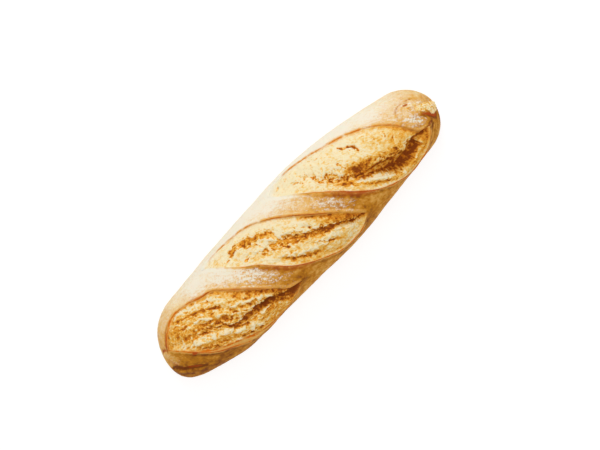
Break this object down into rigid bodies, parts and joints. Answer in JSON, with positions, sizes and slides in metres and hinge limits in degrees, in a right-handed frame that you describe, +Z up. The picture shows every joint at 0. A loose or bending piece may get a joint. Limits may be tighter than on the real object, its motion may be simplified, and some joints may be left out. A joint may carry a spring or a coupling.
{
  "type": "baguette",
  "caption": "Short crusty baguette with slanting slashes opened over torn golden crumb, flat underneath.",
  "frame": {"origin": "middle of the loaf's box at the flat base that it rests on", "axes": "+X along the loaf towards the end with the torn knob, +Y towards the pale, floured flank, +Z up"},
  "size_m": [0.26, 0.0708, 0.0501],
  "materials": {
    "bread": "matt, dry crust dusted with flour"
  },
  "bodies": {
    "root": {"baguette": "bread"}
  },
  "joints": []
}
